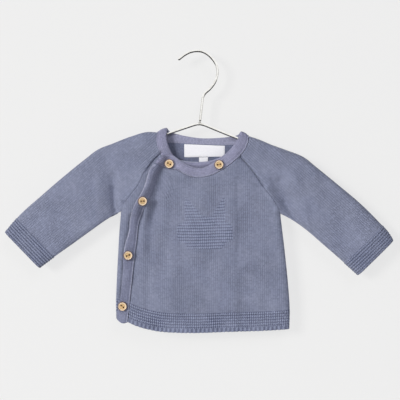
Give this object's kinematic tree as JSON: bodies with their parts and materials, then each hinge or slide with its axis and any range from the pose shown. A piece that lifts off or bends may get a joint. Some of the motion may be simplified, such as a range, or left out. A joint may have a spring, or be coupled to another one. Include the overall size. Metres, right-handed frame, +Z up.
{
  "type": "baby cardigan on a wire hanger",
  "caption": "Baby's fine-knit wrap cardigan with raglan sleeves, a round neckband, a front band buttoned over to one side and garter hem and cuffs, on a wire hanger.",
  "frame": {"origin": "where the hanger's hook bears on its rail, at the inside of the hook's crown", "axes": "+Z up, the front faces -Y and a wall behind would be at +Y, +X to the right of someone who looks at the front"},
  "size_m": [0.505, 0.0209, 0.3673],
  "materials": {
    "knit": "fine matte cotton knit",
    "band_knit": "fine matte cotton knit",
    "button_wood": "satin turned wood",
    "woven_label": "woven tape",
    "hanger_wire": "polished plated steel wire"
  },
  "bodies": {
    "root": {"back": "knit", "under_front": "knit", "over_front": "knit", "sleeve_left": "knit", "sleeve_right": "knit", "neckband": "band_knit", "front_band": "band_knit", "button_1": "button_wood", "button_2": "button_wood", "button_3": "button_wood", "button_4": "button_wood", "button_5": "button_wood", "label": "woven_label", "size_tag": "woven_label", "hanger_hook": "hanger_wire", "hanger_arms": "hanger_wire"}
  },
  "joints": []
}
